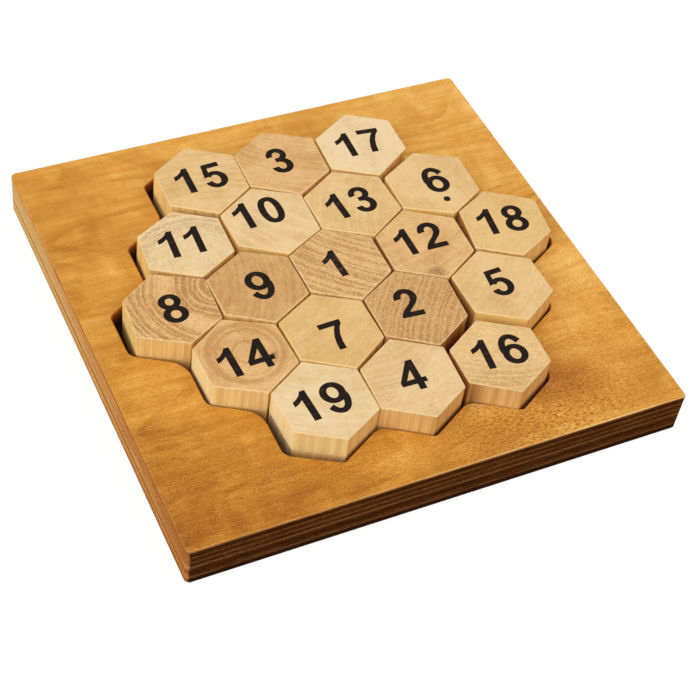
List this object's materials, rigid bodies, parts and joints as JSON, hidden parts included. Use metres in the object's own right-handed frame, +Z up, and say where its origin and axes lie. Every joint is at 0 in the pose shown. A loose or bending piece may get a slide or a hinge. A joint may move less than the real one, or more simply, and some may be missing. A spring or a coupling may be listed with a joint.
{
  "type": "hexagonal number puzzle",
  "caption": "Flat square plywood board with a milled honeycomb pocket that holds loose, numbered hexagonal wooden tiles to be lifted out and set in new cells.",
  "frame": {"origin": "centre of the board's underside", "axes": "+Z up out of the tiles' tops, +X along the front edge to the right, +Y to the back"},
  "size_m": [0.194, 0.19, 0.0274],
  "materials": {
    "board": "honey stained birch plywood, satin varnish",
    "tile_pale": "pale sanded end grain, unvarnished",
    "tile_warm": "warm sanded end grain, unvarnished",
    "tile_brown": "browner sanded end grain, unvarnished"
  },
  "bodies": {
    "board": {"board": "board"},
    "tile_01": {"tile_01": "tile_brown"},
    "tile_02": {"tile_02": "tile_brown"},
    "tile_03": {"tile_03": "tile_brown"},
    "tile_04": {"tile_04": "tile_pale"},
    "tile_05": {"tile_05": "tile_pale"},
    "tile_06": {"tile_06": "tile_warm"},
    "tile_07": {"tile_07": "tile_warm"},
    "tile_08": {"tile_08": "tile_warm"},
    "tile_09": {"tile_09": "tile_brown"},
    "tile_10": {"tile_10": "tile_pale"},
    "tile_11": {"tile_11": "tile_pale"},
    "tile_12": {"tile_12": "tile_warm"},
    "tile_13": {"tile_13": "tile_warm"},
    "tile_14": {"tile_14": "tile_brown"},
    "tile_15": {"tile_15": "tile_pale"},
    "tile_16": {"tile_16": "tile_pale"},
    "tile_17": {"tile_17": "tile_pale"},
    "tile_18": {"tile_18": "tile_warm"},
    "tile_19": {"tile_19": "tile_pale"}
  },
  "joints": [
    {"name": "tile_01_lift", "type": "slide", "parent": "board", "child": "tile_01", "axis": [0, 0, 1], "range_m": [0, 0.03]},
    {"name": "tile_02_lift", "type": "slide", "parent": "board", "child": "tile_02", "axis": [0, 0, 1], "range_m": [0, 0.03]},
    {"name": "tile_03_lift", "type": "slide", "parent": "board", "child": "tile_03", "axis": [0, 0, 1], "range_m": [0, 0.03]},
    {"name": "tile_04_lift", "type": "slide", "parent": "board", "child": "tile_04", "axis": [0, 0, 1], "range_m": [0, 0.03]},
    {"name": "tile_05_lift", "type": "slide", "parent": "board", "child": "tile_05", "axis": [0, 0, 1], "range_m": [0, 0.03]},
    {"name": "tile_06_lift", "type": "slide", "parent": "board", "child": "tile_06", "axis": [0, 0, 1], "range_m": [0, 0.03]},
    {"name": "tile_07_lift", "type": "slide", "parent": "board", "child": "tile_07", "axis": [0, 0, 1], "range_m": [0, 0.03]},
    {"name": "tile_08_lift", "type": "slide", "parent": "board", "child": "tile_08", "axis": [0, 0, 1], "range_m": [0, 0.03]},
    {"name": "tile_09_lift", "type": "slide", "parent": "board", "child": "tile_09", "axis": [0, 0, 1], "range_m": [0, 0.03]},
    {"name": "tile_10_lift", "type": "slide", "parent": "board", "child": "tile_10", "axis": [0, 0, 1], "range_m": [0, 0.03]},
    {"name": "tile_11_lift", "type": "slide", "parent": "board", "child": "tile_11", "axis": [0, 0, 1], "range_m": [0, 0.03]},
    {"name": "tile_12_lift", "type": "slide", "parent": "board", "child": "tile_12", "axis": [0, 0, 1], "range_m": [0, 0.03]},
    {"name": "tile_13_lift", "type": "slide", "parent": "board", "child": "tile_13", "axis": [0, 0, 1], "range_m": [0, 0.03]},
    {"name": "tile_14_lift", "type": "slide", "parent": "board", "child": "tile_14", "axis": [0, 0, 1], "range_m": [0, 0.03]},
    {"name": "tile_15_lift", "type": "slide", "parent": "board", "child": "tile_15", "axis": [0, 0, 1], "range_m": [0, 0.03]},
    {"name": "tile_16_lift", "type": "slide", "parent": "board", "child": "tile_16", "axis": [0, 0, 1], "range_m": [0, 0.03]},
    {"name": "tile_17_lift", "type": "slide", "parent": "board", "child": "tile_17", "axis": [0, 0, 1], "range_m": [0, 0.03]},
    {"name": "tile_18_lift", "type": "slide", "parent": "board", "child": "tile_18", "axis": [0, 0, 1], "range_m": [0, 0.03]},
    {"name": "tile_19_lift", "type": "slide", "parent": "board", "child": "tile_19", "axis": [0, 0, 1], "range_m": [0, 0.03]}
  ]
}
